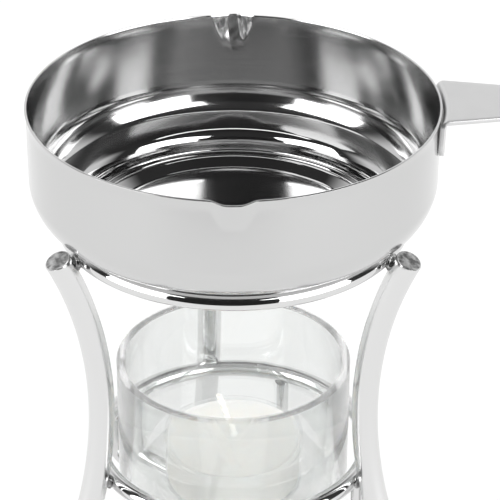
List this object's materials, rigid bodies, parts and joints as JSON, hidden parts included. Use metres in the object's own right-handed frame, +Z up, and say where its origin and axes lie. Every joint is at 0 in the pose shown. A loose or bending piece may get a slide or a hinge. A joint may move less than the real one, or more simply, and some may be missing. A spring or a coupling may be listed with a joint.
{
  "type": "butter melter",
  "caption": "Small steel pan with pouring lips and a strip handle on a curved-leg wire stand, over a clear glass cup with a tea light, for melting butter at the table.",
  "frame": {"origin": "on the plane the feet stand on, under the middle of the whole object's length (pan rim to handle end) and width", "axes": "+X from the pan towards the end of the handle, +Y towards the back leg, where one pouring lip looks (the other looks along -Y), +Z up"},
  "size_m": [0.1833, 0.103, 0.12],
  "materials": {
    "steel_satin": "satin stainless steel, fine brushing round the wall",
    "steel_polished": "polished stainless rod",
    "steel_rod": "satin-polished stainless rod",
    "steel_weld": "polished-over weld bead",
    "clear_glass": "clear, fire-polished rim",
    "clear_plastic": "clear thin plastic shell",
    "white_wax": "white candle wax, soft sheen",
    "white_cotton": "waxed white cotton",
    "tinned_tab": "thin tinned steel"
  },
  "bodies": {
    "stand": {"top_ring": "steel_polished", "middle_ring": "steel_polished", "leg_left": "steel_rod", "leg_right": "steel_rod", "leg_back": "steel_rod", "cradle_wire_upper": "steel_polished", "cradle_wire_lower": "steel_polished", "top_weld_left": "steel_weld", "top_weld_right": "steel_weld", "top_weld_back": "steel_weld", "middle_weld_left": "steel_weld", "middle_weld_right": "steel_weld", "middle_weld_back": "steel_weld", "cradle_weld_upper_a": "steel_weld", "cradle_weld_upper_b": "steel_weld", "cradle_weld_lower_a": "steel_weld", "cradle_weld_lower_b": "steel_weld"},
    "pan": {"pan_bowl": "steel_satin", "pan_handle": "steel_satin"},
    "glass": {"glass_cup": "clear_glass"},
    "tealight": {"tealight_shell": "clear_plastic", "tealight_wax": "white_wax", "tealight_wick": "white_cotton", "wick_tab": "tinned_tab"}
  },
  "joints": [
    {"name": "pan_lift", "type": "slide", "parent": "stand", "child": "pan", "axis": [0, 0, 1], "range_m": [0, 0.15]},
    {"name": "glass_lift", "type": "slide", "parent": "stand", "child": "glass", "axis": [0, 0, 1], "range_m": [0, 0.09]},
    {"name": "tealight_lift", "type": "slide", "parent": "glass", "child": "tealight", "axis": [0, 0, 1], "range_m": [0, 0.045]}
  ],
  "couplings": [
    {"joint": "glass_lift", "follows": "pan_lift", "ratio": 0.6},
    {"joint": "tealight_lift", "follows": "pan_lift", "ratio": 0.3}
  ]
}
